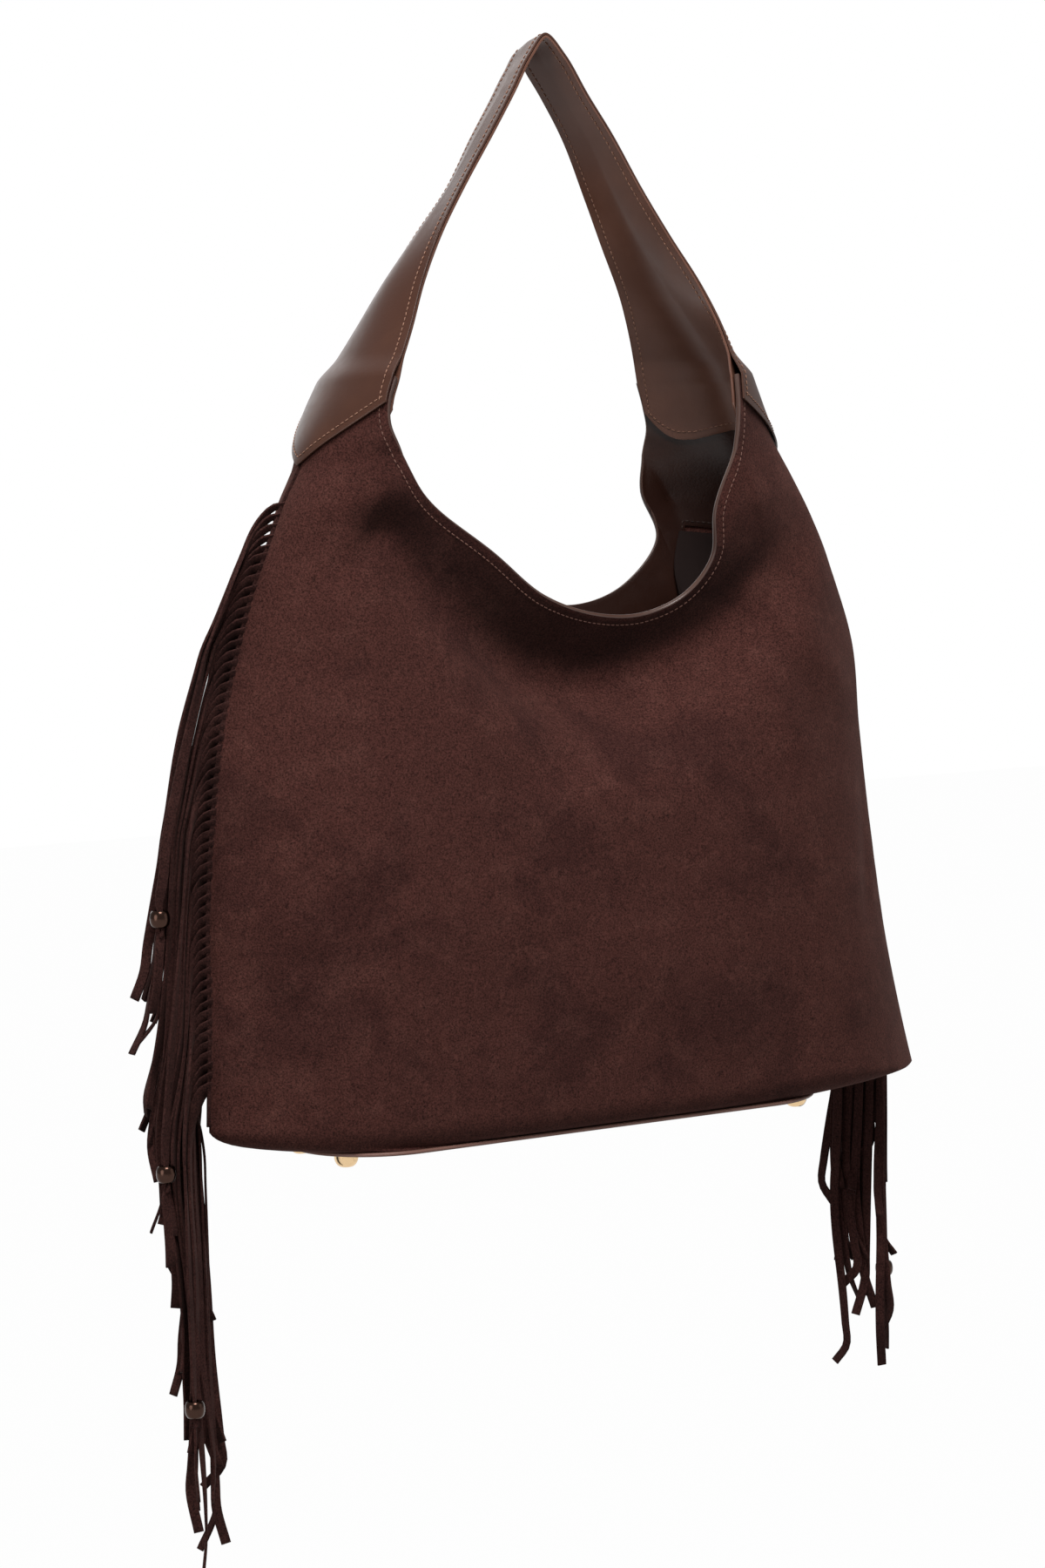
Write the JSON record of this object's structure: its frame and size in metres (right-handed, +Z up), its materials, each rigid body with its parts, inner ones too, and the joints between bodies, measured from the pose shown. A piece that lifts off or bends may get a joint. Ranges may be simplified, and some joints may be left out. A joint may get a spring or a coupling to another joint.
{
  "type": "fringed shoulder bag",
  "caption": "Slouchy suede shoulder bag with an open mouth, a wide two-ply strap, a leather base on metal feet and beaded fringe down both side seams.",
  "frame": {"origin": "underside of the strap at its crown, where a hook or a hand carries the bag", "axes": "+X along the bag's width, -Y towards its front, +Z up as it hangs"},
  "size_m": [0.472, 0.116, 0.7615],
  "materials": {
    "suede": "napped faux suede, dark chocolate brown",
    "strap_leather": "smooth semi-matt leather, painted edges, light brown topstitching",
    "facing_leather": "smooth semi-matt leather",
    "base_leather": "smooth semi-matt leather, turned edge",
    "lining_cloth": "plain woven lining",
    "fringe_suede": "cut faux suede",
    "board": "stiff base board",
    "foot_metal": "polished pale gold plate",
    "bead_metal": "dark antique bronze, polished"
  },
  "bodies": {
    "root": {"front_panel": "suede", "front_facing": "facing_leather", "back_panel": "suede", "back_facing": "facing_leather", "lining": "lining_cloth", "base_panel": "base_leather", "base_board": "board", "foot_front_left": "foot_metal", "foot_back_left": "foot_metal", "foot_front_right": "foot_metal", "foot_back_right": "foot_metal", "foot_washer_front_left": "foot_metal", "foot_washer_back_left": "foot_metal", "foot_washer_front_right": "foot_metal", "foot_washer_back_right": "foot_metal", "strap_outer": "strap_leather", "strap_inner": "strap_leather", "fringe_left": "fringe_suede", "fringe_right": "fringe_suede", "bead_left_1": "bead_metal", "bead_left_2": "bead_metal", "bead_left_3": "bead_metal", "bead_right_1": "bead_metal", "bead_right_2": "bead_metal", "bead_right_3": "bead_metal"}
  },
  "joints": []
}
